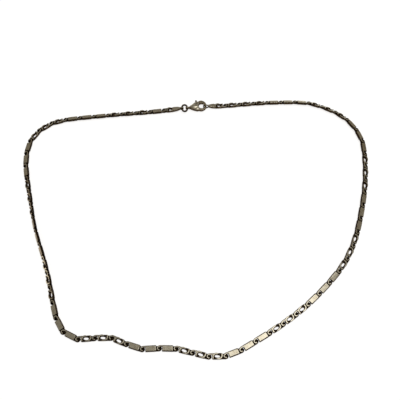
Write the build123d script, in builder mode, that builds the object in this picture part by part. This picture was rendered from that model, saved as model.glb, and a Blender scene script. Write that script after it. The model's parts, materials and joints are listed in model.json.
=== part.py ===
from build123d import *
import math
import os

# A fastened necklace chain of flat metal links, lying on a surface in a rounded D.
# Millimetres, +Z up. The front of the loop is towards -Y and the clasp is at the back.

# Driving dimensions

# chain links
LINK_COUNT = 64
GROUP_SIZE = 3  # three pierced links, then three plain ones, starting beside the clasp
LINK_WIDTH = 2.5
LINK_THICKNESS = 1.1
EDGE_BEVEL = 0.32
CORNER_RADIUS = 0.2

# the joint between two links: a C-shaped eye round a post
EYE_HOLE_RADIUS = 0.42
EYE_RADIUS = 0.80
EYE_UNDERCUT = 0.2  # the eye stops this far above the back of the link
POST_RADIUS = 0.30
HOOK_INNER_RADIUS = 0.90
HOOK_RADIUS = 1.16
HOOK_RECESS = 0.35  # the hook's top lies this far below the face
POST_RECESS = 0.25
NECK_RECESS = 0.55  # the neck between post and hook passes under the eye's open side
NECK_WIDTH = 0.26
NECK_LENGTH = 1.0
HOOK_START = 7  # the hook's free end, degrees from the link's own line
STRIP_EDGE = 0.7  # the strip to the hook runs between this distance and the link's edge
EYE_OPENING = 75  # half of the eye's open side, degrees
ARM_WIDTH = 0.45
PLATE_OVERLAP = 0.3  # how far arms and strips run into the plate
PLATE_START = 1.28  # from the eye's centre to the plate
PLATE_END = 1.10  # from the plate to the post's centre

# scroll links
OVAL_LENGTH = 2.0
OVAL_WIDTH = 0.95
OVAL_TILT = -8
NOTCH_LENGTH = 0.95
NOTCH_WIDTH = 0.5
NOTCH_TILT = 65
NOTCH_FROM_END = 1.05
NOTCH_FROM_MIDDLE = 0.45
NOTCH_DEPTH = 0.5

# end pieces
TAG_EYE_THICKNESS = 0.8
TAG_EYE_WALL = 0.34
TAG_TAPER_LENGTH = 2.8
TAG_TAPER_START = 0.35  # back from the eye's outer end
TAG_SHOULDER = 0.8  # the eye's side view ends this far above the middle
TAG_RIDGE_END = 0.6  # back from the plate
TAG_OVERLAP = 0.2
LEFT_TAG_LENGTH = 8.6
LEFT_TAG_HOLE = (0.74, 0.74)  # half length and half height of the upright eye's hole
RIGHT_TAG_HOLE = (1.22, 1.0)
RIGHT_TAG_LEAD = 0.3  # the right eye's centre lies this far beyond the middle of the hook's wall

# jump ring
RING_WIRE_RADIUS = 0.48
RING_HALF_LENGTH = 1.2  # along the chain, to the wire's centre
RING_HALF_WIDTH = 1.65

# clasp, measured from its tail hole towards the hook
CLASP_THICKNESS = 1.6
TAIL_EYE_RADIUS = 1.15
TAIL_HOLE_RADIUS = 0.72
TAIL_WIDTH = 0.9
HOOK_CENTRE = (6.9, 0.3)
HOOK_HOLE = (1.42, 1.5)  # half length and half width
HOOK_HALF_LENGTH = 2.45
HOOK_UPPER = 3.0
HOOK_LOWER = 2.5
HOOK_TIP_THICKNESS = 1.0
HOOK_WALL = 8.83  # the middle of the hook's far wall
ABOVE_ALL = 2  # cuts start this far above or below the clasp

# clasp lever
LEVER_PIN = (4.7, 1.9)
LEVER_PIN_RADIUS = 0.24
LEVER_PIN_PLAY = 0.04
LEVER_THICKNESS = 0.7
LEVER_ARM_THICKNESS = 1.2
LEVER_BOSS_RADIUS = 0.5
LEVER_REACH = 3.1
LEVER_GAP = 0.1
LEVER_SLOT = 0.84
SLOT_RADIUS = 1.45
ARM_START = 1.42  # the thick arm starts this far from the pin
ARM_ANGLES = (-6, 62)
ROOT_REACH = 1.6
ROOT_ANGLES = (-20, 62)
GAP_START = 1.3  # the gap that the body leaves for the arm, from the pin
GAP_ANGLES = (-40, 70)
KNOB_CENTRE = (4.55, 3.6)
KNOB_RADIUS = 0.45
SPRING_CENTRE = (3.8, 2.0)
SPRING_RADIUS = 0.36
SPRING_LEAF = 0.12
SPRING_SPLIT = 0.2

# heights at which the clasp and the end pieces' eyes lie
CLASP_HEIGHT = 1.32
TAG_EYE_HEIGHT = 1.37

# the chain's route, clockwise from the clasp's right, as it lies
ROUTE = [
    (12.2, 50.7),
    (24.5, 51.7),
    (37.5, 52.4),
    (44.5, 52.5),
    (51.0, 52.2),
    (57.5, 50.2),
    (63.3, 47.4),
    (68.4, 43.8),
    (72.6, 38.4),
    (75.3, 32.1),
    (75.8, 25.2),
    (75.4, 18.0),
    (73.4, 4.5),
    (71.0, -5.0),
    (67.7, -15.7),
    (61.9, -27.8),
    (53.4, -38.2),
    (43.0, -48.0),
    (31.8, -56.2),
    (20.0, -63.4),
    (13.7, -66.8),
    (7.0, -68.3),
    (0.2, -67.5),
    (-6.1, -65.8),
    (-13.0, -64.7),
    (-20.0, -65.2),
    (-26.7, -64.5),
    (-32.7, -61.5),
    (-39.2, -60.5),
    (-45.7, -61.3),
    (-52.0, -60.6),
    (-56.9, -55.9),
    (-59.6, -49.3),
    (-62.8, -37.8),
    (-66.8, -25.9),
    (-71.3, -14.2),
    (-75.0, -1.1),
    (-78.6, 12.9),
    (-79.9, 20.0),
    (-79.9, 26.6),
    (-78.2, 33.2),
    (-74.0, 38.1),
    (-68.7, 41.3),
    (-62.6, 42.8),
    (-49.3, 44.4),
    (-36.1, 45.8),
    (-23.4, 47.1),
    (-17.2, 47.9),
]

# how far the chain is rolled on edge, inner edge up: joint number, degrees
ROLL = [(0, 8), (3, 24), (6, 26), (12, 20), (18, 20), (24, 6), (28, 0), (38, 0)]
ROLL += [(39, 3), (40, 10), (41, 18), (42, 27), (43, 37), (44, 47), (45, 56), (46, 63)]
ROLL += [(47, 66), (48, 60), (49, 50), (50, 40), (51, 30), (52, 20), (53, 12), (54, 8)]
ROLL += [(55, 8), (58, 18), (60, 22), (61, 22), (64, 8)]
TAG_ROLL = 4.0

half_width = LINK_WIDTH / 2
half_thickness = LINK_THICKNESS / 2


# Laying out the chain


def roll_at(joint):
    """The roll at a joint, or between two joints, from the nearest stated ones."""
    for (low, low_roll), (high, high_roll) in zip(ROLL, ROLL[1:]):
        if joint <= high:
            return low_roll + (high_roll - low_roll) * (joint - low) / (high - low)
    return ROLL[-1][1]


def step_along(line, start, distance):
    """The length fraction of the line's next point that is a straight distance on from start."""
    here = line.position_at(start)
    step = distance / line.length
    for _ in range(4):
        step *= distance / (line.position_at(start + step) - here).length
    return start + step


def joints_along(line, pitch):
    """The length fractions at which links of this pitch would be joined."""
    fractions = [0.0]
    for _ in range(LINK_COUNT):
        fractions.append(step_along(line, fractions[-1], pitch))
    return fractions


with BuildLine() as route:
    Spline(*ROUTE)
route_line = route.line.edge()

# the pitch that lays all the links exactly along the route
link_pitch = route_line.length / LINK_COUNT
for _ in range(4):
    link_pitch /= joints_along(route_line, link_pitch)[-1]


def pivot_height(roll):
    """How high a link's middle lies when it is rolled on a flat surface."""
    turned = math.radians(abs(roll))
    return half_width * math.sin(turned) + half_thickness * math.cos(turned)


joint_points = []
for number, fraction in enumerate(joints_along(route_line, link_pitch)):
    flat = route_line.position_at(fraction)
    joint_points.append(Vector(flat.X, flat.Y, pivot_height(roll_at(number))))


def link_plane(eye, post, roll):
    """The plane of a link: X from its eye to its post, Z out of its face, inner edge raised by roll."""
    along = (post - eye).normalized()
    across = Vector(0, 0, 1).cross(along).normalized()
    upright = along.cross(across)
    turned = math.radians(roll)
    face = upright * math.cos(turned) - across * math.sin(turned)
    return Plane(origin=eye, x_dir=along, z_dir=face)


link_planes = {
    number: link_plane(joint_points[number], joint_points[number - 1], roll_at(number - 0.5))
    for number in range(1, LINK_COUNT + 1)
}

# the clasp lies on the line between the chain's two ends
chain_right = joint_points[0]
chain_left = joint_points[-1]
clasp_line = Vector(chain_right.X - chain_left.X, chain_right.Y - chain_left.Y, 0).normalized()


def on_clasp_line(distance, height):
    """A point this far along the clasp's line from the chain's left end."""
    place = chain_left + clasp_line * distance
    return Vector(place.X, place.Y, height)


left_eye = on_clasp_line(LEFT_TAG_LENGTH, TAG_EYE_HEIGHT)
ring_centre = on_clasp_line(LEFT_TAG_LENGTH + RING_HALF_LENGTH, TAG_EYE_HEIGHT)
tail_centre = on_clasp_line(LEFT_TAG_LENGTH + 2 * RING_HALF_LENGTH, CLASP_HEIGHT)
hook_distance = LEFT_TAG_LENGTH + 2 * RING_HALF_LENGTH + HOOK_WALL
hook_wall = on_clasp_line(hook_distance, TAG_EYE_HEIGHT)
right_eye = on_clasp_line(hook_distance + RIGHT_TAG_LEAD, TAG_EYE_HEIGHT)
left_tag_plane = link_plane(left_eye, chain_left, TAG_ROLL)
right_tag_plane = link_plane(right_eye, chain_right, -TAG_ROLL)


# Shapes
#
# A link lies along X from its eye's centre at the origin to its post's centre, with its face up.


def eye_outline():
    """A ring left open towards its own plate, carried by an arm along the link's inner edge."""
    with BuildSketch() as outline:
        Circle(EYE_RADIUS)
        with BuildLine():
            lower = PolarLine((0, 0), 2 * EYE_RADIUS, -EYE_OPENING)
            upper = PolarLine((0, 0), 2 * EYE_RADIUS, EYE_OPENING)
            Polyline(lower @ 1, (2 * EYE_RADIUS, 0), upper @ 1)
        make_face(mode=Mode.SUBTRACT)
        with BuildLine():
            Polyline(
                (0.20, 0.55),
                (0.20, half_width - ARM_WIDTH),
                (PLATE_START + PLATE_OVERLAP, half_width - ARM_WIDTH),
                (PLATE_START + PLATE_OVERLAP, half_width),
                (0.0, half_width),
                (-0.40, half_width - 0.30),
                (-0.45, 0.55),
                close=True,
            )
        make_face()
        Circle(EYE_HOLE_RADIUS, mode=Mode.SUBTRACT)
    return outline.sketch


def hook_outline(post_x):
    """The strip that runs below the next eye from the plate and curls up behind it."""
    with BuildSketch() as outline:
        with Locations((post_x, 0)):
            Circle(HOOK_RADIUS)
        with BuildLine():
            free_end = PolarLine((post_x, 0), 2, HOOK_START)
            Polyline(
                free_end @ 1,
                (post_x + 2, 2),
                (post_x - 2, 2),
                (post_x - 2, -HOOK_INNER_RADIUS),
                (post_x - 0.5, -HOOK_INNER_RADIUS),
                (post_x, 0),
            )
        make_face(mode=Mode.SUBTRACT)
        with BuildLine():
            Polyline(
                (post_x - PLATE_END - PLATE_OVERLAP, -half_width),
                (post_x + 0.1, -half_width),
                (post_x + 0.62, -0.98),
                (post_x + 0.3, -STRIP_EDGE),
                (post_x - PLATE_END - PLATE_OVERLAP, -STRIP_EDGE),
                close=True,
            )
        make_face()
        with Locations((post_x, 0)):
            Circle(HOOK_INNER_RADIUS, mode=Mode.SUBTRACT)
        with Locations((post_x - PLATE_END, -HOOK_INNER_RADIUS)):
            Rectangle(PLATE_END, HOOK_INNER_RADIUS, align=Align.MIN, mode=Mode.SUBTRACT)
    return outline.sketch


def chain_link(length, pierced, has_eye=True, has_hook=True, plate_from=None, plate_to=None):
    """A link with its eye at the origin and its post at X = length."""
    start = PLATE_START if plate_from is None else plate_from
    end = length - PLATE_END if plate_to is None else plate_to
    middle = (start + end) / 2
    with BuildPart() as link:
        with BuildSketch(Plane.XY.offset(-half_thickness)):
            with Locations((middle, 0)):
                RectangleRounded(end - start, LINK_WIDTH, CORNER_RADIUS)
        extrude(amount=LINK_THICKNESS)
        if has_eye:
            with BuildSketch(Plane.XY.offset(EYE_UNDERCUT - half_thickness)):
                add(eye_outline())
            extrude(amount=LINK_THICKNESS - EYE_UNDERCUT)
        if has_hook:
            with BuildSketch(Plane.XY.offset(-half_thickness)):
                add(hook_outline(length))
            extrude(amount=LINK_THICKNESS - HOOK_RECESS)
            with BuildSketch(Plane.XY.offset(-half_thickness)):
                with Locations((length + NECK_LENGTH / 2, 0)):
                    Rectangle(NECK_LENGTH, NECK_WIDTH)
            extrude(amount=LINK_THICKNESS - NECK_RECESS)
            with BuildSketch(Plane.XY.offset(-half_thickness)):
                with Locations((length, 0)):
                    Circle(POST_RADIUS)
            extrude(amount=LINK_THICKNESS - POST_RECESS)
        with BuildSketch(Plane.YZ.offset(-HOOK_RADIUS)):
            with BuildLine():
                Polyline(
                    (half_width - EDGE_BEVEL, half_thickness),
                    (half_width + EDGE_BEVEL, half_thickness - 2 * EDGE_BEVEL),
                    (half_width + EDGE_BEVEL, half_thickness),
                    close=True,
                )
            make_face()
            mirror(about=Plane.XZ)
        extrude(amount=length + 2 * HOOK_RADIUS, mode=Mode.SUBTRACT)
        if pierced:
            with BuildSketch(Plane.XY.offset(half_thickness)):
                with Locations((middle, 0)):
                    SlotOverall(OVAL_LENGTH, OVAL_WIDTH, rotation=OVAL_TILT)
            extrude(amount=-LINK_THICKNESS, mode=Mode.SUBTRACT)
            with BuildSketch(Plane.XY.offset(half_thickness)):
                with Locations(
                    (end - NOTCH_FROM_END, NOTCH_FROM_MIDDLE),
                    (start + NOTCH_FROM_END, -NOTCH_FROM_MIDDLE),
                ):
                    SlotOverall(NOTCH_LENGTH, NOTCH_WIDTH, rotation=NOTCH_TILT)
            extrude(amount=-NOTCH_DEPTH, mode=Mode.SUBTRACT)
    return link.part


def end_tag(length, hole, hook_end):
    """A short scroll plate whose other end tapers to an upright oval eye, centred at X = 0."""
    hole_length, hole_height = hole
    outer_length = hole_length + TAG_EYE_WALL
    outer_height = hole_height + TAG_EYE_WALL
    taper_start = outer_length - TAG_TAPER_START
    plate_start = taper_start + TAG_TAPER_LENGTH
    with BuildPart() as tag:
        if hook_end:
            plate_from = plate_start - TAG_OVERLAP
            add(chain_link(length, True, has_eye=False, plate_from=plate_from))
        else:
            plate_to = length - plate_start + TAG_OVERLAP
            with Locations(Location((length, 0, 0), (0, 0, 180))):
                add(chain_link(length, True, has_hook=False, plate_to=plate_to))
        with BuildSketch(Plane.XY.offset(-half_thickness)):
            with BuildLine():
                Polyline(
                    (taper_start, TAG_EYE_THICKNESS / 2),
                    (plate_start, half_width - EDGE_BEVEL / 2),
                    (plate_start, -half_width + EDGE_BEVEL / 2),
                    (taper_start, -TAG_EYE_THICKNESS / 2),
                    close=True,
                )
            make_face()
        extrude(amount=LINK_THICKNESS - EDGE_BEVEL)
        with BuildSketch(Plane.XZ.offset(-TAG_EYE_THICKNESS / 2)):
            SlotOverall(2 * outer_length, 2 * outer_height)
            with BuildLine():
                Polyline(
                    (0, outer_height),
                    (outer_length, TAG_SHOULDER),
                    (plate_start - TAG_RIDGE_END, half_thickness - EDGE_BEVEL),
                    (plate_start - TAG_RIDGE_END, -half_thickness),
                    (outer_length, -half_thickness),
                    (0, -half_thickness),
                    close=True,
                )
            make_face()
            SlotOverall(2 * hole_length, 2 * hole_height, mode=Mode.SUBTRACT)
        extrude(amount=TAG_EYE_THICKNESS)
    return tag.part


def lever_sweep(inner, outer, from_angle, to_angle):
    """The part of a flat ring about the lever's pin that lies between two angles."""
    with BuildSketch() as outline:
        with Locations(LEVER_PIN):
            Circle(outer)
            Circle(inner, mode=Mode.SUBTRACT)
        with BuildLine():
            first = PolarLine(LEVER_PIN, 2 * outer, from_angle)
            between = PolarLine(LEVER_PIN, 2 * outer, (from_angle + to_angle) / 2, mode=Mode.PRIVATE)
            last = PolarLine(LEVER_PIN, 2 * outer, to_angle)
            Polyline(first @ 1, between @ 1, last @ 1)
        make_face(mode=Mode.INTERSECT)
    return outline.sketch


def half_ring(half_length, upper):
    """The upper half of the hook's ring."""
    with BuildSketch() as outline:
        with Locations(HOOK_CENTRE):
            Ellipse(half_length, upper)
            lower_half = (Align.CENTER, Align.MAX)
            Rectangle(3 * half_length, 2 * upper, align=lower_half, mode=Mode.SUBTRACT)
    return outline.sketch


# Pieces, each in its own frame

plain_link = chain_link(link_pitch, pierced=False)
scroll_link = chain_link(link_pitch, pierced=True)

left_length = (chain_left - left_eye).length
right_length = (right_eye - chain_right).length
left_tag_shape = end_tag(left_length, LEFT_TAG_HOLE, hook_end=True)
right_tag_shape = end_tag(right_length, RIGHT_TAG_HOLE, hook_end=False)

with BuildPart() as ring:
    with BuildLine():
        wire_path = EllipticalCenterArc((0, 0), RING_HALF_LENGTH, RING_HALF_WIDTH, arc_size=360)
    with BuildSketch(Plane(origin=wire_path @ 0, z_dir=wire_path % 0)):
        Circle(RING_WIRE_RADIUS)
    sweep()

with BuildPart() as body:
    # seen from above: tail, flared body and the ring of the hook
    with BuildSketch(Plane.XY.offset(-ABOVE_ALL)):
        Rectangle(2 * TAIL_EYE_RADIUS, TAIL_WIDTH)
        with BuildLine():
            Polyline(
                (0.5, TAIL_WIDTH / 2),
                (1.25, TAIL_WIDTH / 2),
                (1.7, 0.9),
                (2.9, 1.6),
                (4.0, 2.4),
                (4.9, 2.8),
                (5.6, 2.6),
                (5.6, -1.9),
                (4.7, -2.0),
                (3.6, -1.6),
                (2.2, -1.0),
                (1.25, -TAIL_WIDTH / 2),
                (0.5, -TAIL_WIDTH / 2),
                close=True,
            )
        make_face()
        add(half_ring(HOOK_HALF_LENGTH, HOOK_UPPER))
        with Locations(HOOK_CENTRE):
            Ellipse(HOOK_HALF_LENGTH, HOOK_LOWER)
            Ellipse(*HOOK_HOLE, mode=Mode.SUBTRACT)
        add(lever_sweep(GAP_START, LEVER_REACH + LEVER_GAP, *GAP_ANGLES), mode=Mode.SUBTRACT)
    extrude(amount=2 * ABOVE_ALL)
    # seen from the side: round tail eye, full body, hook thinning towards its far wall
    with BuildSketch(Plane.XZ.offset(-2 * HOOK_UPPER)):
        Circle(TAIL_EYE_RADIUS)
        with BuildLine():
            upper_side = Polyline(
                (0, TAIL_WIDTH / 2),
                (1.5, 0.6),
                (3.0, CLASP_THICKNESS / 2),
                (6.3, CLASP_THICKNESS / 2),
                (8.2, HOOK_TIP_THICKNESS / 2),
                (10.0, HOOK_TIP_THICKNESS / 2),
                (10.0, 0),
            )
            mirror(upper_side, about=Plane.XZ)
            Line((0, -TAIL_WIDTH / 2), (0, TAIL_WIDTH / 2))
        make_face()
        Circle(TAIL_HOLE_RADIUS, mode=Mode.SUBTRACT)
    extrude(amount=4 * HOOK_UPPER, mode=Mode.INTERSECT)
    # the slot that holds the lever, and the pin's hole through both cheeks
    with BuildSketch(Plane.XY.offset(-LEVER_SLOT / 2)):
        with Locations(LEVER_PIN):
            Circle(SLOT_RADIUS)
    extrude(amount=LEVER_SLOT, mode=Mode.SUBTRACT)
    with BuildSketch(Plane.XY.offset(-ABOVE_ALL)):
        with Locations(LEVER_PIN):
            Circle(LEVER_PIN_RADIUS)
    extrude(amount=2 * ABOVE_ALL, mode=Mode.SUBTRACT)

with BuildPart() as lever:
    # the root round the pin, with the heel that meets the spring, and the knob's stalk
    with BuildSketch(Plane.XY.offset(-LEVER_THICKNESS / 2)):
        with Locations(LEVER_PIN):
            Circle(LEVER_BOSS_RADIUS)
        with BuildLine():
            Polyline(LEVER_PIN, (3.95, 1.2), (3.85, 1.42), LEVER_PIN, close=True)
        make_face()
        with BuildLine():
            Polyline((4.42, 1.9), (4.28, 3.6), (4.82, 3.6), (4.98, 1.9), close=True)
        make_face()
        add(half_ring(HOOK_HALF_LENGTH, HOOK_UPPER) & lever_sweep(0.1, ROOT_REACH, *ROOT_ANGLES))
    extrude(amount=LEVER_THICKNESS)
    with BuildSketch(Plane.XY.offset(-LEVER_ARM_THICKNESS / 2)):
        add(half_ring(HOOK_HALF_LENGTH, HOOK_UPPER))
        add(lever_sweep(ARM_START, LEVER_REACH, *ARM_ANGLES), mode=Mode.INTERSECT)
        with Locations(HOOK_CENTRE):
            Ellipse(*HOOK_HOLE, mode=Mode.SUBTRACT)
    extrude(amount=LEVER_ARM_THICKNESS)
    with Locations((KNOB_CENTRE[0], KNOB_CENTRE[1], 0)):
        Sphere(KNOB_RADIUS)
    with BuildSketch(Plane.XY.offset(-ABOVE_ALL)):
        with Locations(LEVER_PIN):
            Circle(LEVER_PIN_RADIUS + LEVER_PIN_PLAY)
    extrude(amount=2 * ABOVE_ALL, mode=Mode.SUBTRACT)

with BuildPart() as pin:
    with BuildSketch(Plane.XY.offset(-CLASP_THICKNESS / 2)):
        with Locations(LEVER_PIN):
            Circle(LEVER_PIN_RADIUS)
    extrude(amount=CLASP_THICKNESS)

with BuildPart() as spring:
    with BuildSketch(Plane.XY.offset(-LEVER_THICKNESS / 2)):
        with Locations(SPRING_CENTRE):
            Circle(SPRING_RADIUS)
            Circle(SPRING_RADIUS - SPRING_LEAF, mode=Mode.SUBTRACT)
            with Locations((-SPRING_RADIUS, 0)):
                Rectangle(SPRING_RADIUS, SPRING_SPLIT, mode=Mode.SUBTRACT)
    extrude(amount=LEVER_THICKNESS)


# Placing the pieces


def placed(shape, plane):
    """A copy of the shape moved from its own frame to the plane."""
    with BuildPart() as moved:
        with Locations(plane.location):
            add(shape)
    return moved.part


def is_scroll(number):
    return (number - 1) // GROUP_SIZE % 2 == 0


def link_at(number):
    return placed(scroll_link if is_scroll(number) else plain_link, link_planes[number])


# every fifth link is held to the next one, as one node of two solids
pieces = {}
for number in range(1, LINK_COUNT + 1):
    kind = "scroll" if is_scroll(number) else "plate"
    if number % 5 == 2:
        both = link_at(number).solids() + link_at(number + 1).solids()
        pieces[f"link_pair_{number:02d}_{number + 1:02d}"] = Compound(both)
    elif number % 5 != 3:
        pieces[f"link_{number:02d}_{kind}"] = link_at(number)

clasp_plane = Plane(origin=tail_centre, x_dir=clasp_line, z_dir=(0, 0, 1))
ring_plane = Plane(origin=ring_centre, x_dir=clasp_line, z_dir=(0, 0, 1))
pieces["left_end_tag"] = placed(left_tag_shape, left_tag_plane)
pieces["right_end_tag"] = placed(right_tag_shape, right_tag_plane)
pieces["jump_ring"] = placed(ring.part, ring_plane)
pieces["clasp_body"] = placed(body.part, clasp_plane)
pieces["clasp_lever"] = placed(lever.part, clasp_plane)
pieces["lever_pin"] = placed(pin.part, clasp_plane)
pieces["lever_spring"] = placed(spring.part, clasp_plane)

# the origin is under the middle of the whole necklace's box, on the surface that it lies on
box = Compound([solid for shape in pieces.values() for solid in shape.solids()]).bounding_box()
origin_shift = Vector(-box.center().X, -box.center().Y, -box.min.Z)

os.makedirs("parts", exist_ok=True)
for name, shape in pieces.items():
    finished = shape.moved(Location(origin_shift))
    finished.label = name
    export_step(finished, f"parts/{name}.step")
print(len(pieces), "nodes, pitch", round(link_pitch, 3), "box", box.size)
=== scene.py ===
import json
import math

import bmesh
import bpy
from mathutils import Matrix, Vector, noise

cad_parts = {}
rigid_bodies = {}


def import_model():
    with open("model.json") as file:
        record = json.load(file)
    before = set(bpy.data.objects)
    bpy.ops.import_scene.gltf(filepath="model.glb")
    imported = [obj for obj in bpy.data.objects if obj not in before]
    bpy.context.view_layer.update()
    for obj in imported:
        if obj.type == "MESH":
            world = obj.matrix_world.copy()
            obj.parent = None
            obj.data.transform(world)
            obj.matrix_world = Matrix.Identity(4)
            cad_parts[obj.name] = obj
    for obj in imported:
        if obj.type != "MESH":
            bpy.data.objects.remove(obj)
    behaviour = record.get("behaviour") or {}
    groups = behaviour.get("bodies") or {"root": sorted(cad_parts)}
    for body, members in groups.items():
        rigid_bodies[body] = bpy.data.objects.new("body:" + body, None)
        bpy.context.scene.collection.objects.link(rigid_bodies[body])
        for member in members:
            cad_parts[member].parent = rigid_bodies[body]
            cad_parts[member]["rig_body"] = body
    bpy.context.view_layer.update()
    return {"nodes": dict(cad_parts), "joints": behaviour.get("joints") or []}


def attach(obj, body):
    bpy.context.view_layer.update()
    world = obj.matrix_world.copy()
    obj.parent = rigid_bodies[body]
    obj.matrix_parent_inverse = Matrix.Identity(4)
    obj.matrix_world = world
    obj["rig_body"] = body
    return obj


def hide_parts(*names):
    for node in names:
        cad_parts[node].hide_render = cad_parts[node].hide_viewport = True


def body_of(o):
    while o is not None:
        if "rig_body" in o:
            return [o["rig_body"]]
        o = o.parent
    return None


# A necklace chain of aged silver-tone links, lying closed on a pale surface.
# Sizes are in millimetres in the pieces' own frames, and metres in the scene.

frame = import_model()

MM = 0.001

# the link's own frame: X from its eye's centre to its post, Y towards the inside of the loop
HALF_WIDTH = 1.25
HALF_THICKNESS = 0.55
PLATE_START = 1.28
PLATE_END = 1.10
EYE_RADIUS = 0.80  # of the eye in CAD, which places the link
EYE_OUTER = 0.89
EYE_INNER = 0.38
HOOK_RADIUS = 1.20
HOOK_INNER = 0.95
POST_RADIUS = 0.27
BEVEL = 0.32
WEB_RADIUS = 1.14  # the thin floor that closes the link behind the next one's eye
WEB_THICKNESS = 0.13
PLATE_CORNER = 0.18
HOLE_HALF = (1.0, 0.475)
HOLE_TILT = -8
RECESS_TOP = 0.12
PAIR_FIRST = 2  # links 2 and 3, 7 and 8, and so on share a node
PAIR_STEP = 5
GROUP = 3

# fineness of the cast surfaces
LINK_VOXEL = 0.075
CLASP_VOXEL = 0.07
RING_STEPS = 96
WIRE_STEPS = 20
CURVE_STEPS = 6
LINK_SMOOTHING = 2
LINK_KEEP = 0.5
CLASP_KEEP = 0.6

# unevenness that makes no two links alike
WEAR_DEPTH = 0.018
WEAR_SCALE = 550

# how dark each range of links is painted, as painted shade: first and last link, depth. It follows
# the photo's brightness, and is deepest on links 46 to 51, which lie rolled far onto their sides.
PAINTED_SHADE_BY_LINK = {
    (1, 9): 0.0,
    (10, 12): 0.22,
    (13, 18): 0.14,
    (19, 42): 0.0,
    (43, 45): 0.2,
    (46, 51): 0.5,
    (52, 54): 0.14,
    (55, 57): 0.0,
    (58, 64): 0.08,
}
TONES = 3
SIDE_WEAR = 0.22

# clasp and end pieces, each in its own frame; the clasp's runs from its tail hole to the hook
TAG_PLATE_START = 4.0
TAG_ROLL = 4.0
TAG_HOLE_HALF = (0.62, 0.4)
RING_REACH = 1.2  # from the ring's centre to the middle of the left eye in CAD
RING_HALF = (1.28, 1.84)
RING_WIRE = 0.45
RIGHT_EYE = 9.13  # from the clasp's tail hole to the middle of the right eye
TAIL_SHIFT = 0.08
TAIL_END = 0.62  # what lies before this in the CAD body is its tail ring
TAIL_HOLE = (0.6, 0.6)
LEFT_HOLE = (0.6, 0.6)
LEFT_HOLE_SHIFT = 0.08
RIGHT_HOLE = (1.08, 0.98)
RIGHT_HOLE_SHIFT = -0.18
EYE_THICKNESS = 0.72
HOOK_CENTRE = (6.9, 0.3)
RIM_HALF = (1.95, 2.0)  # the rounded rim that runs along both faces of the hook
RIM_ARC = (-150, 75)
RIM_STEPS = 40
RIM_TWIST = 5.6  # degrees that its section turns at each step
RIM_FADE = 8  # steps over which it fades in and out
RIM_SIDES = 12
RIM_RADIUS = 0.42
RIM_HEIGHT = 0.32
RIM_SWELL = 0.22
LEVER_PIN = (4.7, 1.9)
PIN_HEAD = 0.36
KNOB_NECK = (4.55, 3.15, 0)

# the camera: degrees and millimetres
FOCAL = 54
SENSOR = 36
ELEVATION = 64.2
DISTANCE = 267.2
LOOK_AT = (2.02, 8.5, 0.0)

# the stage, in metres and watts
FLOOR_SIZE = 8
FLOOR_DROP = 0.00002
FLOOR_GLOW = 0.8
ROOM_COLOUR = (1.0, 0.96, 0.88, 1)
ROOM_STRENGTH = 0.18
LAMP_PLACE = (0.165, 0.03, 0.6)
LAMP_SIZE = (0.51, 0.28)
LAMP_POWER = 0.46


# Finding each link's own frame from its CAD solid


def solids_of(node):
    """The separate solids of a CAD node, each a list of (face normal, area, corner points) in mm."""
    bm = bmesh.new()
    bm.from_mesh(frame["nodes"][node].data)
    bmesh.ops.remove_doubles(bm, verts=bm.verts, dist=1e-7)
    bm.faces.ensure_lookup_table()
    seen = set()
    found = []
    for first in bm.faces:
        if first.index in seen:
            continue
        seen.add(first.index)
        stack, solid = [first], []
        while stack:
            face = stack.pop()
            solid.append((face.normal.copy(), face.calc_area(), [v.co / MM for v in face.verts]))
            for edge in face.edges:
                for other in edge.link_faces:
                    if other.index not in seen:
                        seen.add(other.index)
                        stack.append(other)
        found.append(solid)
    bm.free()
    return found


def main_normal(faces):
    """The direction that most of these faces' area looks in."""
    sums = {}
    for normal, area, _ in faces:
        key = tuple(round(c, 1) for c in normal)
        sums[key] = sums.get(key, Vector()) + normal * area
    return max(sums.values(), key=lambda s: s.length).normalized()


def link_frame(solid):
    """The matrix of a link's own frame, in mm, from its flat back, its long side and its eye."""
    up = main_normal(solid)
    up *= math.copysign(1, up.z)
    sides = [face for face in solid if abs(face[0].dot(up)) < 0.02]
    across = main_normal(sides)
    across = (across - up * across.dot(up)).normalized()
    along = across.cross(up)
    points = [p for _, _, corners in solid for p in corners]
    top = max(p.dot(up) for p in points)
    bottom = min(p.dot(up) for p in points)
    top_points = [p.dot(along) for p in points if p.dot(up) > top - 0.01]
    back_points = [p.dot(along) for p in points if p.dot(up) < bottom + 0.01]
    # the eye lies in the face and the hook in the back
    if sum(top_points) / len(top_points) > sum(back_points) / len(back_points):
        along, across = -along, -across
    eye = min(p.dot(along) for p in points) + EYE_RADIUS
    middle = (max(p.dot(across) for p in points) + min(p.dot(across) for p in points)) / 2
    origin = along * eye + across * middle + up * (top + bottom) / 2
    rows = Matrix((along, across, up)).transposed().to_4x4()
    return Matrix.Translation(origin * MM) @ rows


# Mesh tools, all in mm


def rounded_section(half, low, high, edge):
    """A rounded rectangle as (sideways, height) points."""
    points = []
    corners = ((half, high, 0), (-half, high, 90), (-half, low, 180), (half, low, 270))
    for x, z, turn in corners:
        inner_x = x - math.copysign(edge, x)
        inner_z = high - edge if z == high else low + edge
        for step in range(4):
            angle = math.radians(turn + 30 * step)
            points.append((inner_x + edge * math.cos(angle), inner_z + edge * math.sin(angle)))
    return points


def bridge(bm, rings, closed):
    """Faces between neighbouring rings of points, joined round or capped at both ends."""
    pairs = list(zip(rings, rings[1:]))
    if closed:
        pairs.append((rings[-1], rings[0]))
    for one, two in pairs:
        size = len(one)
        for i in range(size):
            bm.faces.new((one[i], one[(i + 1) % size], two[(i + 1) % size], two[i]))
    if not closed:
        bm.faces.new(list(reversed(rings[0])))
        bm.faces.new(rings[-1])


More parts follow.
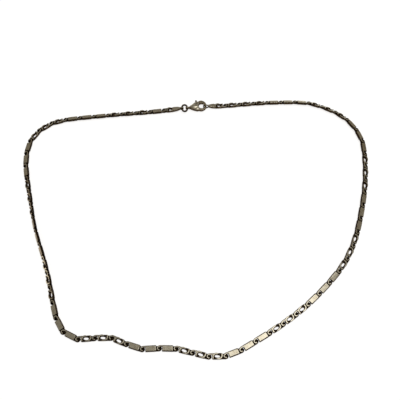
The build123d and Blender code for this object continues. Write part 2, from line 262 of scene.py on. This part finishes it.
def band(bm, path, half, low, high, edge, closed=False):
    """A strip with a rounded section along a flat path. Its half width is one number or a list."""
    count = len(path)
    halves = half if isinstance(half, list) else [half] * count
    rings = []
    for i, (x, y) in enumerate(path):
        before = path[i - 1] if i or closed else path[i]
        after = path[(i + 1) % count] if i + 1 < count or closed else path[i]
        tangent = (Vector(after) - Vector(before)).normalized()
        section = rounded_section(halves[i], low, high, min(edge, 0.45 * halves[i]))
        ring = [bm.verts.new((x - tangent.y * w, y + tangent.x * w, z)) for w, z in section]
        rings.append(ring)
    bridge(bm, rings, closed)


def layered(bm, outline, layers):
    """A solid whose outline is drawn in by some inset at each height."""
    bridge(bm, [[bm.verts.new((x, y, z)) for x, y in outline(inset)] for z, inset in layers], False)


def arc(centre, radius, start, end, steps):
    """Points on an arc. The radius is one number, or a pair of half axes."""
    rx, ry = radius if isinstance(radius, tuple) else (radius, radius)
    points = []
    for i in range(steps + 1):
        angle = math.radians(start + (end - start) * i / steps)
        points.append((centre[0] + rx * math.cos(angle), centre[1] + ry * math.sin(angle)))
    return points


def curve_through(points):
    """A smooth path through a few points."""
    ends = [points[0], *points, points[-1]]
    path = []
    for a, b, c, d in zip(ends, ends[1:], ends[2:], ends[3:]):
        for i in range(CURVE_STEPS):
            t = i / CURVE_STEPS
            path.append(tuple(
                0.5 * (2 * b[k] + (c[k] - a[k]) * t + (2 * a[k] - 5 * b[k] + 4 * c[k] - d[k]) * t**2
                       + (3 * b[k] - a[k] - 3 * c[k] + d[k]) * t**3)
                for k in range(2)
            ))
    path.append(tuple(points[-1]))
    return path


def tapering(path, full, start, end, reach=4):
    """Half widths along a path that narrow to start and end at its two ends."""
    halves = []
    for i in range(len(path)):
        near_start = min(1, i / reach)
        near_end = min(1, (len(path) - 1 - i) / reach)
        width = start + (full - start) * math.sin(near_start * math.pi / 2)
        halves.append(min(width, end + (full - end) * math.sin(near_end * math.pi / 2)))
    return halves


def rounded_plate(start, end, half, radius):
    """The outline of a plate as a function of how far it is drawn in."""
    def outline(inset):
        x0, x1, y = start + 0.4 * inset, end - 0.4 * inset, half - inset
        points = []
        for cx, cy, turn in ((x1, y, 0), (x0, y, 90), (x0, -y, 180), (x1, -y, 270)):
            px = cx - math.copysign(radius, cx - (x0 + x1) / 2)
            py = cy - math.copysign(radius, cy)
            for step in range(5):
                angle = math.radians(turn + 22.5 * step)
                points.append((px + radius * math.cos(angle), py + radius * math.sin(angle)))
        return points
    return outline


def disc(centre, radius, count=28):
    """The outline of a disc as a function of how far it is drawn in."""
    def outline(inset):
        return arc(centre, radius - inset, 0, 360 - 360 / count, count - 1)
    return outline


def super_point(angle, half_x, half_y, power, tilt=0.0):
    """Where a ray from the middle meets a rounded box or oval."""
    c, s = math.cos(angle - tilt), math.sin(angle - tilt)
    reach = (abs(c / half_x) ** power + abs(s / half_y) ** power) ** (-1 / power)
    return reach * math.cos(angle), reach * math.sin(angle)


def pierced_plate(bm, centre, half_x, hole):
    """A full-width plate with an oval hole through it, as one ring of rounded section."""
    tilt = math.radians(HOLE_TILT)
    top = RECESS_TOP
    low = -HALF_THICKNESS
    profile = [("out", low, 0.06), ("out", low + 0.06, 0), ("out", top - 0.1, 0), ("out", top, 0.1)]
    profile += [("in", top, 0.08), ("in", top - 0.08, 0), ("in", low + 0.05, 0), ("in", low, 0.05)]
    rings = []
    for i in range(RING_STEPS):
        angle = 2 * math.pi * i / RING_STEPS
        ring = []
        for side, z, inset in profile:
            if side == "out":
                x, y = super_point(angle, half_x - inset, HALF_WIDTH - inset, 7)
            else:
                x, y = super_point(angle, hole[0] + inset, hole[1] + inset, 2.5, tilt)
            ring.append(bm.verts.new((centre + x, y, z)))
        rings.append(ring)
    bridge(bm, rings, True)


def cast_mesh(bm, name, voxel, rounds, keep):
    """One closed skin over the shells in bm, rounded like a casting and thinned. It frees bm."""
    bmesh.ops.recalc_face_normals(bm, faces=bm.faces)
    source = bpy.data.meshes.new(name + "_source")
    bm.to_mesh(source)
    bm.free()
    carrier = bpy.data.objects.new(name + "_carrier", source)
    bpy.context.scene.collection.objects.link(carrier)
    skin = carrier.modifiers.new("skin", "REMESH")
    skin.mode = "VOXEL"
    skin.voxel_size = voxel
    skin.use_smooth_shade = True
    soften = carrier.modifiers.new("soften", "SMOOTH")
    soften.factor = 0.5
    soften.iterations = rounds
    fewer = carrier.modifiers.new("fewer", "DECIMATE")
    fewer.ratio = keep
    graph = bpy.context.evaluated_depsgraph_get()
    made = bpy.data.meshes.new_from_object(carrier.evaluated_get(graph))
    bpy.data.objects.remove(carrier)
    bpy.data.meshes.remove(source)
    made.name = name
    made.transform(Matrix.Scale(MM, 4))
    for polygon in made.polygons:
        polygon.use_smooth = True
    return made


# Link shapes


def add_eye(bm):
    """The C-shaped eye, open towards its own plate, and the arm that carries it."""
    low, high = -HALF_THICKNESS + 0.2, HALF_THICKNESS
    middle, half = (EYE_OUTER + EYE_INNER) / 2, (EYE_OUTER - EYE_INNER) / 2
    band(bm, arc((0, 0), middle, 60, 292, 30), half, low, high, 0.09)
    skirt = curve_through([(1.7, 1.02), (0.9, 1.02), (0.2, 0.98), (-0.2, 0.78), (-0.5, 0.45)])
    band(bm, skirt, tapering(skirt, 0.21, 0.21, 0.1), low, high - BEVEL, 0.06)
    shoulder = curve_through([(1.7, 0.74), (0.9, 0.8), (0.3, 0.78), (-0.1, 0.66), (-0.4, 0.4)])
    band(bm, shoulder, tapering(shoulder, 0.25, 0.25, 0.12), low, high, 0.07)


def add_hook(bm, post):
    """The strip that runs past the next eye and curls up behind it, with its floor, post and neck."""
    low, high = -HALF_THICKNESS, HALF_THICKNESS - 0.35
    floor_top = low + WEB_THICKNESS
    layered(bm, disc((post, 0), WEB_RADIUS), [(low, 0.03), (low + 0.05, 0.0), (floor_top, 0.02)])
    start = post - PLATE_END - 0.3
    layered(bm, rounded_plate(start, post - 0.4, 1.05, 0.1), [(low, 0.0), (floor_top, 0.02)])
    middle, half = (HOOK_RADIUS + HOOK_INNER) / 2, (HOOK_RADIUS - HOOK_INNER) / 2
    strip = [(start, -1.03), (post - 0.3, -1.03), (post + 0.1, -1.05)]
    band(bm, curve_through(strip), 0.17, low, high, 0.05)
    band(bm, arc((post, 0), middle, -92, 7, 18), half, low, high, 0.05)
    band(bm, [(post, 0), (post + 0.5, 0), (post + 1.0, 0)], 0.13, low, low + 0.53, 0.03)
    dome = [(low, 0.02), (0.0, 0.0), (0.12, 0.05), (0.2, 0.15)]
    layered(bm, disc((post, 0), POST_RADIUS - 0.01), dome)


def add_strokes(bm, centre, size=1.0):
    """The raised scroll: two comma strokes, the second one the first turned half round."""
    stroke = [(1.72, 1.0), (1.83, 0.4), (1.66, -0.32), (1.12, -0.84), (0.45, -0.97), (-0.45, -0.95)]
    # the size is along the link only
    path = [(size * x, y) for x, y in curve_through(stroke)]
    halves = tapering(path, 0.33, 0.3, 0.14, 7)
    low, high = -0.3, HALF_THICKNESS
    for turn in (1, -1):
        band(bm, [(centre + turn * x, turn * y) for x, y in path], halves, low, high, 0.12)


def link_mesh(name, length, pierced):
    """A link's mesh in its own frame."""
    start, end = PLATE_START, length - PLATE_END
    bm = bmesh.new()
    if pierced:
        centre = (start + end) / 2
        half = (end - start) / 2
        pierced_plate(bm, centre, half, HOLE_HALF)
        add_strokes(bm, centre)
    else:
        top = HALF_THICKNESS
        bottom_edge = [(-top, 0.08), (-top + 0.06, 0.0), (top - BEVEL, 0.0)]
        upper = [(top - 0.04, BEVEL - 0.05), (top, BEVEL + 0.05)]
        layered(bm, rounded_plate(start, end, HALF_WIDTH, PLATE_CORNER), bottom_edge + upper)
    add_eye(bm)
    add_hook(bm, length)
    return cast_mesh(bm, name, LINK_VOXEL, LINK_SMOOTHING, LINK_KEEP)


# Clasp and end pieces


def cad_shell(bm, node, matrix):
    """Adds a CAD node's own surface, in the piece's frame."""
    scratch = frame["nodes"][node].data.copy()
    scratch.transform(Matrix.Scale(1 / MM, 4) @ matrix.inverted())
    bm.from_mesh(scratch)
    bmesh.ops.remove_doubles(bm, verts=bm.verts, dist=0.001)
    bpy.data.meshes.remove(scratch)


def turned(bm, make, matrix):
    """Adds a shell built in its own frame and then moved."""
    part = bmesh.new()
    make(part)
    bmesh.ops.transform(part, matrix=matrix, verts=part.verts)
    scratch = bpy.data.meshes.new("scratch")
    part.to_mesh(scratch)
    part.free()
    bm.from_mesh(scratch)
    bpy.data.meshes.remove(scratch)


def cushion(bm, centre, radii, flat_at):
    """A low dome: a squashed ball whose hidden side is cut flat."""
    made = bmesh.ops.create_uvsphere(bm, u_segments=32, v_segments=18, radius=1)
    up = math.copysign(1, centre[2])
    for vert in made["verts"]:
        vert.co = Vector(centre) + Vector(c * r for c, r in zip(vert.co, radii))
        if up * vert.co.z < up * flat_at:
            vert.co.z = flat_at


def through_sections(bm, sections, edge):
    """A bar through rounded sections: place along the piece, half width, bottom and top."""
    rings = []
    for x, half, low, high in sections:
        rings.append([bm.verts.new((x, w, z)) for w, z in rounded_section(half, low, high, edge)])
    bridge(bm, rings, False)


def upright_eye(bm, centre, hole, wall, thickness):
    """An oval ring that stands on edge across the chain's line."""
    def ring(part):
        path = arc((0, 0), (hole[0] + wall / 2, hole[1] + wall / 2), 0, 352.5, 47)
        band(part, path, wall / 2, -thickness / 2, thickness / 2, 0.1, closed=True)
    turned(bm, ring, Matrix.Translation((centre, 0, 0)) @ Matrix.Rotation(math.radians(90), 4, "X"))


def tag_mesh(name, length, eye_centre, hole, wall, hooked):
    """An end piece: a short scroll plate that tapers and rises to its upright eye."""
    neck = eye_centre + hole[0] + wall / 2
    start = TAG_PLATE_START
    end = length - (PLATE_END if hooked else PLATE_START)
    bm = bmesh.new()
    upright_eye(bm, eye_centre, hole, wall, EYE_THICKNESS)
    low = -HALF_THICKNESS
    taper = [
        (neck - 0.1, 0.4, low, 0.78),
        (neck + 0.6, 0.62, low, 0.8),
        (neck + 1.5, 0.98, low, 0.66),
        (start - 0.4, 1.18, low, 0.5),
        (start + 0.2, 1.22, low, 0.4),
    ]
    through_sections(bm, taper, 0.2)
    centre, half = (start + end) / 2, (end - start) / 2
    pierced_plate(bm, centre, half, TAG_HOLE_HALF)
    add_strokes(bm, centre, half / 2.15)
    if hooked:
        add_hook(bm, length)
    else:
        turned(bm, add_eye, Matrix.Translation((length, 0, 0)) @ Matrix.Rotation(math.pi, 4, "Z"))
    return cast_mesh(bm, name, LINK_VOXEL, LINK_SMOOTHING, LINK_KEEP)


def ring_mesh():
    """The closed jump ring, with the faint lump where its ends were soldered."""
    bm = bmesh.new()
    rings = []
    for i in range(RING_STEPS):
        angle = 2 * math.pi * i / RING_STEPS
        lump = 1 + 0.10 * math.exp(-((i - 0.62 * RING_STEPS) / 1.6) ** 2)
        wire = RING_WIRE * lump
        c, s = math.cos(angle), math.sin(angle)
        outward = Vector((c / RING_HALF[0], s / RING_HALF[1], 0)).normalized()
        middle = Vector((RING_HALF[0] * c, RING_HALF[1] * s, 0))
        ring = []
        for k in range(WIRE_STEPS):
            turn = 2 * math.pi * k / WIRE_STEPS
            rise = Vector((0, 0, wire * math.sin(turn)))
            ring.append(bm.verts.new(middle + outward * wire * math.cos(turn) + rise))
        rings.append(ring)
    bridge(bm, rings, True)
    return cast_mesh(bm, "ring_wire", CLASP_VOXEL, 1, CLASP_KEEP)


def add_rim(bm, side):
    """The rounded rim along one face of the hook, which fades out at both ends."""
    rim = arc(HOOK_CENTRE, RIM_HALF, *RIM_ARC, RIM_STEPS)
    rings = []
    for i, (x, y) in enumerate(rim):
        fade = min(1, i / RIM_FADE, (RIM_STEPS - i) / RIM_FADE)
        outward = math.radians(RIM_ARC[0] + RIM_TWIST * i)
        ring = []
        for a in (math.radians(360 / RIM_SIDES * k) for k in range(RIM_SIDES)):
            reach = RIM_RADIUS * fade * math.cos(a)
            height = side * (RIM_HEIGHT + RIM_SWELL * fade * math.sin(a))
            place = (x + reach * math.cos(outward), y + reach * math.sin(outward), height)
            ring.append(bm.verts.new(place))
        rings.append(ring)
    bridge(bm, rings, False)


def body_mesh(matrix):
    """The clasp's cast body: the CAD shape with domed cheeks, a rounded hook and a slim tail eye."""
    bm = bmesh.new()
    cad_shell(bm, "clasp_body", matrix)
    # the tail's own ring is replaced by a slimmer one
    tail = [v for v in bm.verts if v.co.x < TAIL_END]
    bmesh.ops.delete(bm, geom=tail, context="VERTS")
    bmesh.ops.holes_fill(bm, edges=[e for e in bm.edges if e.is_boundary], sides=0)
    upright_eye(bm, TAIL_SHIFT, TAIL_HOLE, 0.25, 0.7)
    stem = [(TAIL_SHIFT + 0.7, 0.3, -0.4, 0.4), (1.2, 0.42, -0.5, 0.5), (1.9, 0.7, -0.6, 0.6)]
    through_sections(bm, stem, 0.18)
    for side in (1, -1):
        cushion(bm, (3.5, 0.15, side * 0.55), (2.2, 1.25, 0.62), side * 0.5)
        cushion(bm, (4.6, -1.1, side * 0.5), (1.3, 0.6, 0.5), side * 0.5)
        add_rim(bm, side)
    return cast_mesh(bm, "clasp_casting", CLASP_VOXEL, 5, CLASP_KEEP)


def lever_mesh(matrix):
    """The lever: the CAD shape rounded like the casting, with a collar under its knob."""
    bm = bmesh.new()
    cad_shell(bm, "clasp_lever", matrix)
    def collar(part):
        layered(part, disc((0, 0), 0.36, 20), [(-0.07, 0.05), (-0.03, 0), (0.03, 0), (0.07, 0.05)])
    turned(bm, collar, Matrix.Translation(KNOB_NECK) @ Matrix.Rotation(math.radians(90), 4, "X"))
    return cast_mesh(bm, "lever_casting", CLASP_VOXEL, 3, CLASP_KEEP)


def pin_mesh():
    """The lever's pin, with its two riveted heads."""
    bm = bmesh.new()
    profile = [(-1.02, 0.2), (-0.99, 0.12), (-0.94, 0.05), (-0.86, 0.0), (-0.8, 0.1), (-0.79, 0.13)]
    profile += [(-z, inset) for z, inset in reversed(profile)]
    layered(bm, disc(LEVER_PIN, PIN_HEAD, 32), profile)
    mesh = bpy.data.meshes.new("rivet")
    bmesh.ops.recalc_face_normals(bm, faces=bm.faces)
    bm.to_mesh(mesh)
    bm.free()
    mesh.transform(Matrix.Scale(MM, 4))
    for polygon in mesh.polygons:
        polygon.use_smooth = True
    return mesh


# Materials


class Nodes:
    """Short calls for building one material's nodes."""

    def __init__(self, name):
        self.material = bpy.data.materials.new(name)
        self.material.use_nodes = True
        self.tree = self.material.node_tree
        self.shader = self.tree.nodes["Principled BSDF"]

    def add(self, kind, **settings):
        node = self.tree.nodes.new(kind)
        for key, value in settings.items():
            setattr(node, key, value)
        return node

    def wire(self, source, target):
        self.tree.links.new(source, target)

    def math(self, operation, a, b=None, clamp=False):
        node = self.add("ShaderNodeMath", operation=operation, use_clamp=clamp)
        for socket, value in zip(node.inputs, (a, b)):
            if value is None:
                continue
            if isinstance(value, (int, float)):
                socket.default_value = value
            else:
                self.wire(value, socket)
        return node.outputs[0]

    def ranged(self, value, low, high, to_low=0.0, to_high=1.0):
        node = self.add("ShaderNodeMapRange", interpolation_type="SMOOTHSTEP")
        self.wire(value, node.inputs[0])
        for index, number in zip((1, 2, 3, 4), (low, high, to_low, to_high)):
            node.inputs[index].default_value = number
        return node.outputs[0]

    def noise(self, vector, scale, detail, seed):
        node = self.add("ShaderNodeTexNoise", noise_dimensions="4D")
        self.wire(vector, node.inputs["Vector"])
        node.inputs["W"].default_value = seed
        node.inputs["Scale"].default_value = scale
        node.inputs["Detail"].default_value = detail
        return node.outputs["Fac"]

    def stretched(self, vector, scale, turn):
        node = self.add("ShaderNodeMapping")
        self.wire(vector, node.inputs["Vector"])
        node.inputs["Scale"].default_value = scale
        node.inputs["Rotation"].default_value = (0, 0, math.radians(turn))
        return node.outputs[0]

    def ramp(self, value, stops):
        node = self.add("ShaderNodeValToRGB")
        self.wire(value, node.inputs[0])
        elements = node.color_ramp.elements
        while len(elements) < len(stops):
            elements.new(0.5)
        for element, (position, colour) in zip(elements, stops):
            element.position = position
            element.color = (*colour, 1)
        return node.outputs[0]


# the palette, from the deep recesses to the worn faces, whose cream is partly a painted highlight
DARK = (0.050, 0.031, 0.016)
BROWN = (0.125, 0.082, 0.043)
OLIVE = (0.28, 0.215, 0.130)
WARM = (0.64, 0.535, 0.360)
CREAM = (0.94, 0.86, 0.67)

# noise scales, per metre
PATCH_SCALE = 900
SPECK_SCALE = 5200
PIT_SCALE = 2600
SCRATCH_SCALE = (900, 9000, 3000)
SCRATCH_TURN = 25
GRAIN_SCALE = 900

FACING_FULL = 0.97
STAIN_SHADE = 0.70
ROUGH_DARK = 0.58
ROUGH_BRIGHT = 0.24
PIT_SHARE = 0.7
SCRATCH_SHARE = 0.3
BUMP_STRENGTH = 0.2
BUMP_DEPTH = 0.04


def aged_silver(name, seed, sides, face_from=0.80, low=0.15, high=0.45, tone_and_painted_shade=0.0):
    """Silver tone worn bright where it faces up between two heights in mm, a mark that is also a
    painted highlight from the overhead light, and dark elsewhere.
    """
    n = Nodes(name)
    place = n.add("ShaderNodeTexCoord")
    at, normal = place.outputs["Object"], place.outputs["Normal"]
    up = n.add("ShaderNodeSeparateXYZ")
    n.wire(normal, up.inputs[0])
    height = n.add("ShaderNodeSeparateXYZ")
    n.wire(at, height.inputs[0])
    # bright where the surface faces up and stands proud: worn bright, and also a painted highlight
    # where the overhead light falls
    facing = n.ranged(up.outputs["Z"], face_from, FACING_FULL)
    proud = n.ranged(height.outputs["Z"], low * MM, high * MM)
    rubbed_and_highlit = n.math("MULTIPLY", facing, proud)
    patches = n.noise(at, PATCH_SCALE, 4, seed)
    specks = n.noise(at, SPECK_SCALE, 2, seed + 7)
    edge_wear = n.math("MULTIPLY", n.ranged(specks, 0.45, 0.72), sides)
    shade = n.math("MAXIMUM", rubbed_and_highlit, edge_wear)
    stain = n.ranged(patches, 0.50, 0.80, 1.0, STAIN_SHADE)
    shade = n.math("MULTIPLY", shade, stain)
    # a shift of the whole tone: small random differences between copies, and painted shade for the
    # darker ranges of links
    shade = n.math("ADD", shade, tone_and_painted_shade, clamp=True)
    stops = [(0.0, DARK), (0.22, BROWN), (0.45, OLIVE), (0.78, WARM), (1.0, CREAM)]
    n.wire(n.ramp(shade, stops), n.shader.inputs["Base Color"])
    scratch = n.noise(n.stretched(at, SCRATCH_SCALE, SCRATCH_TURN), 1.0, 2, seed + 3)
    rough = n.ranged(shade, 0.1, 1.0, ROUGH_DARK, ROUGH_BRIGHT)
    rough = n.math("ADD", rough, n.ranged(scratch, 0.35, 0.75, -0.05, 0.10), clamp=True)
    n.wire(rough, n.shader.inputs["Roughness"])
    n.shader.inputs["Metallic"].default_value = 1.0
    pits = n.noise(at, PIT_SCALE, 4, seed + 11)
    pitted = n.math("MULTIPLY", pits, PIT_SHARE)
    scratched = n.math("MULTIPLY", scratch, SCRATCH_SHARE)
    relief = n.math("ADD", pitted, scratched)
    bump = n.add("ShaderNodeBump")
    bump.inputs["Strength"].default_value = BUMP_STRENGTH
    bump.inputs["Distance"].default_value = BUMP_DEPTH * MM
    n.wire(relief, bump.inputs["Height"])
    n.wire(bump.outputs[0], n.shader.inputs["Normal"])
    return n.material


def floor_material():
    n = Nodes("pale_floor")
    place = n.add("ShaderNodeTexCoord")
    grain = n.noise(place.outputs["Object"], GRAIN_SCALE, 3, 1.0)
    pale = n.ramp(grain, [(0.3, (0.93, 0.93, 0.93)), (0.7, (0.95, 0.95, 0.95))])
    n.wire(pale, n.shader.inputs["Base Color"])
    n.shader.inputs["Roughness"].default_value = 0.8
    n.shader.inputs["Specular IOR Level"].default_value = 0.2
    n.shader.inputs["Emission Color"].default_value = (1, 1, 1, 1)
    n.shader.inputs["Emission Strength"].default_value = FLOOR_GLOW
    return n.material


# Putting pieces in the scene


def piece(name, mesh, matrix, node, material):
    """Adds a mesh that rides on its CAD node's body and takes the node's place."""
    made = bpy.data.objects.new(name, mesh)
    bpy.context.scene.collection.objects.link(made)
    made.matrix_world = matrix
    mesh.materials.clear()
    mesh.materials.append(material)
    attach(made, body_of(frame["nodes"][node])[0])
    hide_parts(node)


def worn_copy(mesh, seed):
    """A copy of a link's mesh, a little uneven, no two alike."""
    copy = mesh.copy()
    shift = Vector((seed * 3.1, seed * 1.7, 0))
    normals = [vertex.normal.copy() for vertex in mesh.vertices]
    moved = []
    for vertex, normal in zip(mesh.vertices, normals):
        depth = noise.noise(vertex.co * WEAR_SCALE + shift) * WEAR_DEPTH * MM
        moved.extend(vertex.co + normal * depth)
    copy.vertices.foreach_set("co", moved)
    return copy


def kind_of(number):
    """Three scroll links, then three plates, all the way round."""
    return "scroll" if (number - 1) // GROUP % 2 == 0 else "plate"


def node_of(number):
    """The CAD node that a link is part of."""
    step = number % PAIR_STEP
    if step in (PAIR_FIRST, PAIR_FIRST + 1):
        first = number - (step - PAIR_FIRST)
        return f"link_pair_{first:02d}_{first + 1:02d}"
    return f"link_{number:02d}_{kind_of(number)}"


def build_links():
    joints = {joint["name"]: Vector(joint["pos_m"]) for joint in frame["joints"]}
    pitch = (joints["turn_01"] - joints["turn_00"]).length / MM
    shapes = {
        "plate": link_mesh("plate_link", pitch, False),
        "scroll": link_mesh("scroll_link", pitch, True),
    }
    shade_tones = {}
    # one set of silver copies for each painted shade depth, each set made darker by that depth
    for depth in sorted(set(PAINTED_SHADE_BY_LINK.values())):
        shade_tones[depth] = []
        for i in range(TONES):
            name = f"aged_silver_{round(100 * depth):02d}_{i}"
            seed = 10 * i + 100 * depth
            shade_tones[depth].append(aged_silver(name, seed, SIDE_WEAR, tone_and_painted_shade=0.02 * i - depth))
    last_link = max(last for _, last in PAINTED_SHADE_BY_LINK)
    placed = {}
    for number in range(1, last_link + 1):
        node = node_of(number)
        if node not in placed:
            placed[node] = [link_frame(solid) for solid in solids_of(node)]
        frames = placed[node]
        if len(frames) > 1:
            start = joints[f"turn_{number - number % PAIR_STEP + 1:02d}"]
            frames.sort(key=lambda m: (m.translation - start).length)
            matrix = frames[number % PAIR_STEP - PAIR_FIRST]
        else:
            matrix = frames[0]
        kind = kind_of(number)
        mesh = worn_copy(shapes[kind], number)
        # each link takes a copy darkened by the painted shade of its range
        depth = next(d for (first, last), d in PAINTED_SHADE_BY_LINK.items() if first <= number <= last)
        tone = shade_tones[depth][number % TONES]
        piece(f"chain_{number:02d}_{kind}", mesh, matrix, node, tone)


def build_clasp():
    joints = {joint["name"]: joint for joint in frame["joints"]}
    places = {name: Vector(joint["pos_m"]) for name, joint in joints.items()}
    line = Vector(joints["ring_tilt"]["axis"]).normalized()
    line *= math.copysign(1, line.x)

    def standing(origin, along, roll=0.0):
        """A frame at origin with X along a direction and Z up, rolled about X."""
        along = along.normalized()
        across = Vector((0, 0, 1)).cross(along).normalized()
        rows = Matrix((along, across, along.cross(across))).transposed().to_4x4()
        return Matrix.Translation(origin) @ rows @ Matrix.Rotation(math.radians(roll), 4, "X")

    clasp = standing(places["clasp_roll"], line)
    ring = standing(places["ring_tilt"], line)
    left_eye = places["ring_tilt"] - line * RING_REACH * MM
    right_eye = places["clasp_roll"] + line * RIGHT_EYE * MM
    right_eye.z = left_eye.z
    left_span, right_span = places["turn_64"] - left_eye, places["turn_00"] - right_eye
    left_end = tag_mesh(
        "left_end", left_span.length / MM, LEFT_HOLE_SHIFT, LEFT_HOLE, 0.24, True)
    right_end = tag_mesh(
        "right_end", right_span.length / MM, RIGHT_HOLE_SHIFT, RIGHT_HOLE, 0.25, False)
    left_tone = aged_silver("left_end_silver", 41, 0.3, low=0.0, high=0.5)
    piece("end_piece_left", left_end, standing(left_eye, left_span, TAG_ROLL),
          "left_end_tag", left_tone)
    right_tone = aged_silver("right_end_silver", 47, 0.3, low=0.0, high=0.5)
    piece("end_piece_right", right_end, standing(right_eye, right_span, -TAG_ROLL),
          "right_end_tag", right_tone)
    ring_tone = aged_silver("ring_silver", 53, 0.16, low=0.25, high=0.6, tone_and_painted_shade=-0.12)
    piece("jump_ring_wire", ring_mesh(), ring, "jump_ring", ring_tone)
    # the clasp's cream reaches further down its domed cheeks: wear, and a painted highlight from the
    # overhead light
    body_tone = aged_silver("clasp_silver", 59, 0.42, face_from=0.45, low=-0.2, high=0.9)
    piece("clasp_casting", body_mesh(clasp), clasp, "clasp_body", body_tone)
    lever_tone = aged_silver("lever_silver", 61, 0.3, face_from=0.55, low=0.0, high=0.9)
    piece("clasp_lever_arm", lever_mesh(clasp), clasp, "clasp_lever", lever_tone)
    rivet_tone = aged_silver("rivet_steel", 67, 0.3, low=0.4, high=0.9)
    piece("clasp_rivet", pin_mesh(), clasp, "lever_pin", rivet_tone)
    spring = frame["nodes"]["lever_spring"]
    spring.data.materials.clear()
    spring.data.materials.append(aged_silver("spring_steel", 71, 0.4))


# Floor, camera and light


def build_floor():
    bpy.ops.mesh.primitive_plane_add(size=FLOOR_SIZE, location=(0, 0, -FLOOR_DROP))
    floor = bpy.context.object
    floor.name = "floor"
    floor.data.materials.append(floor_material())


def softbox(name, place, size, power):
    data = bpy.data.lights.new(name, "AREA")
    data.shape = "RECTANGLE"
    data.size, data.size_y = size
    data.energy = power
    lamp = bpy.data.objects.new(name, data)
    bpy.context.scene.collection.objects.link(lamp)
    lamp.location = place
    lamp.rotation_euler = (-Vector(place)).to_track_quat("-Z", "Y").to_euler()


def build_camera():
    data = bpy.data.cameras.new("camera")
    data.lens = FOCAL
    data.sensor_width = SENSOR
    data.clip_start = 0.01
    data.clip_end = 10
    camera = bpy.data.objects.new("camera", data)
    bpy.context.scene.collection.objects.link(camera)
    tilt = math.radians(ELEVATION)
    target = Vector(LOOK_AT) * MM
    away = Vector((0, -math.cos(tilt), math.sin(tilt)))
    camera.location = target + away * DISTANCE * MM
    camera.rotation_euler = (math.radians(90) - tilt, 0, 0)
    bpy.context.scene.camera = camera


def build_light():
    world = bpy.data.worlds.new("studio")
    world.use_nodes = True
    tree = world.node_tree
    room = tree.nodes["Background"]
    room.inputs[0].default_value = ROOM_COLOUR
    room.inputs[1].default_value = ROOM_STRENGTH
    # the room lights the metal dimly, and is a plain white backdrop where it is seen directly
    backdrop = tree.nodes.new("ShaderNodeBackground")
    backdrop.inputs[0].default_value = (1, 1, 1, 1)
    chosen = tree.nodes.new("ShaderNodeMixShader")
    rays = tree.nodes.new("ShaderNodeLightPath")
    tree.links.new(rays.outputs["Is Camera Ray"], chosen.inputs[0])
    tree.links.new(room.outputs[0], chosen.inputs[1])
    tree.links.new(backdrop.outputs[0], chosen.inputs[2])
    tree.links.new(chosen.outputs[0], tree.nodes["World Output"].inputs[0])
    bpy.context.scene.world = world
    bpy.context.scene.view_settings.view_transform = "Standard"
    softbox("overhead", LAMP_PLACE, LAMP_SIZE, LAMP_POWER)


build_links()
build_clasp()
build_floor()
build_camera()
build_light()
